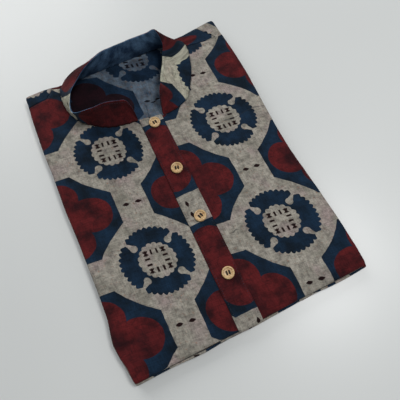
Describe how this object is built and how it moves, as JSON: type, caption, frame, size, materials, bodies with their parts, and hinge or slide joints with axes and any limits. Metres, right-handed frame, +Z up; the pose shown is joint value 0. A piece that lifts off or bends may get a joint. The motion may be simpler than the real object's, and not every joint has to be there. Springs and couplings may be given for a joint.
{
  "type": "folded kurta tunic",
  "caption": "Short cotton kurta tunic with a block print, folded for the shelf and lying face up, with an open standing collar band and a buttoned front placket.",
  "frame": {"origin": "under the middle of the folded garment's box, on the surface that it lies on", "axes": "+X across the chest to the right as it lies, +Y from the bottom fold to the shoulders, +Z up through the stack"},
  "size_m": [0.27, 0.3699, 0.053],
  "materials": {
    "printed_cotton": "matt plain-weave cotton, block printed in navy, maroon and brown on cream",
    "cotton_wrong_side": "matt wrong side of the printed cotton, paler and bluish",
    "placket_cotton": "matt printed cotton strip, edge stitched",
    "collar_cotton": "matt printed cotton, interfaced and edge stitched",
    "button_wood": "pale satin wood with dark thread"
  },
  "bodies": {
    "root": {"folded_layers": "printed_cotton", "back_panel": "cotton_wrong_side", "under_placket": "placket_cotton", "front_panel": "printed_cotton", "yoke": "printed_cotton", "sleeve_left": "printed_cotton", "sleeve_right": "printed_cotton", "placket": "placket_cotton", "collar_band": "collar_cotton", "button_1": "button_wood", "button_2": "button_wood", "button_3": "button_wood", "button_4": "button_wood"}
  },
  "joints": []
}
